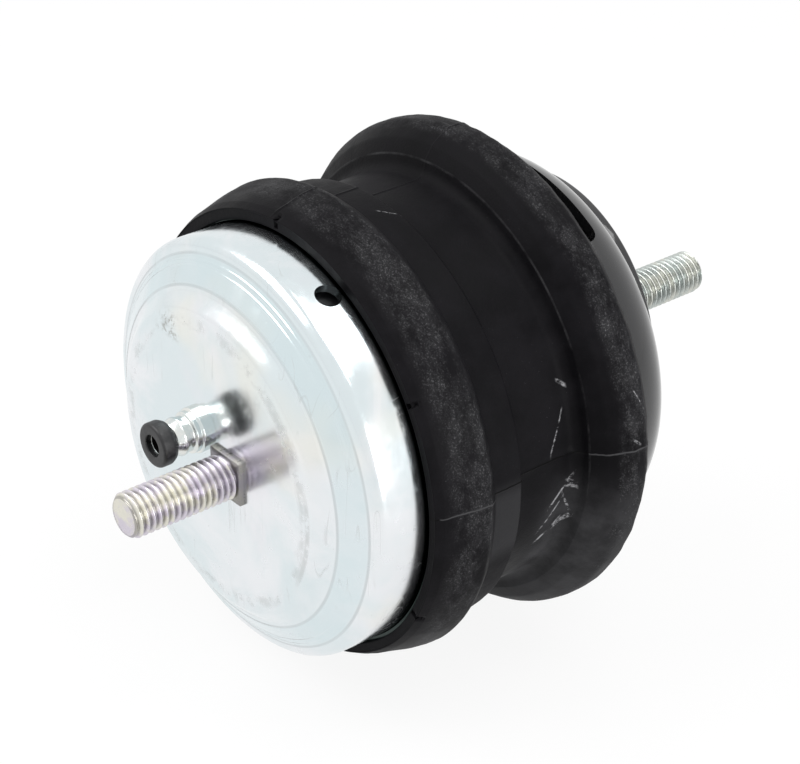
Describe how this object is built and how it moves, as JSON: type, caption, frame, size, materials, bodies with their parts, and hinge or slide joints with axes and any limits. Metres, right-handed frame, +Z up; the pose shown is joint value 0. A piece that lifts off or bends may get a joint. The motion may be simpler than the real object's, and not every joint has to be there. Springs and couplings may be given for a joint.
{
  "type": "hydraulic engine mount",
  "caption": "Cylindrical rubber engine mount with a plated steel cup at one end, a black steel cap at the other, a threaded stud at each end and a locating pin.",
  "frame": {"origin": "on the floor below the mount's axis, half way between the two stud tips, with the mount lying on its two rubber rims", "axes": "+Y along the mount's axis towards the far (engine) stud, +Z up, +X sideways"},
  "size_m": [0.113, 0.164, 0.1126],
  "materials": {
    "bright_zinc": "bright zinc plate, polished",
    "stud_zinc": "zinc plate with a faint lilac and yellow tint",
    "black_paint": "gloss black",
    "body_rubber": "satin black moulded rubber",
    "inner_rubber": "matt black",
    "cast_plate": "die cast",
    "plain_steel": "plain pressed steel"
  },
  "bodies": {
    "root": {"base_cup": "bright_zinc", "base_backing_plate": "plain_steel", "base_stud": "stud_zinc", "locator_pin": "bright_zinc", "locator_ring": "inner_rubber", "diaphragm": "inner_rubber", "lower_track_plate": "cast_plate", "upper_track_plate": "cast_plate", "decoupler": "inner_rubber", "plate_rivets": "plain_steel", "lower_spring_ring": "plain_steel", "upper_spring_ring": "plain_steel", "main_spring": "body_rubber", "chamber_cover": "plain_steel", "bump_stop": "inner_rubber", "fill_plug": "plain_steel", "top_cap": "black_paint", "top_disc": "black_paint", "top_backing_plate": "plain_steel", "top_stud": "stud_zinc"}
  },
  "joints": []
}
